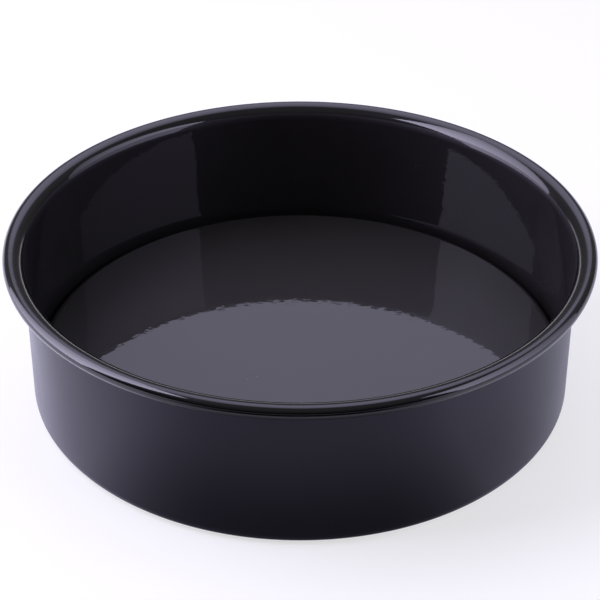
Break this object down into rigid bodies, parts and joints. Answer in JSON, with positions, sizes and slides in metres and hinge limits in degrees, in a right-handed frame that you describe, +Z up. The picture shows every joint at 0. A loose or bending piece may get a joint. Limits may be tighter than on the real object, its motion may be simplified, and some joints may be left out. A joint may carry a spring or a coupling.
{
  "type": "cake pan",
  "caption": "Deep round cake pan with a rolled rim and a loose base that pushes up through the pan and lifts out.",
  "frame": {"origin": "centre of the pan's underside, on the surface that it stands on", "axes": "+Z up along the pan's axis; the pan is round, so +X and +Y are any two directions square to it"},
  "size_m": [0.2486, 0.2486, 0.0715],
  "materials": {
    "pan_coating": "dark non-stick coating on steel sheet, glossy inside and over the rim, satin outside",
    "base_coating": "dark glossy non-stick coating on steel sheet, with a faint waviness"
  },
  "bodies": {
    "pan": {"pan_body": "pan_coating"},
    "base": {"loose_base": "base_coating"}
  },
  "joints": [
    {"name": "base_lift", "type": "slide", "parent": "pan", "child": "base", "axis": [0, 0, 1], "range_m": [0, 0.08]}
  ]
}
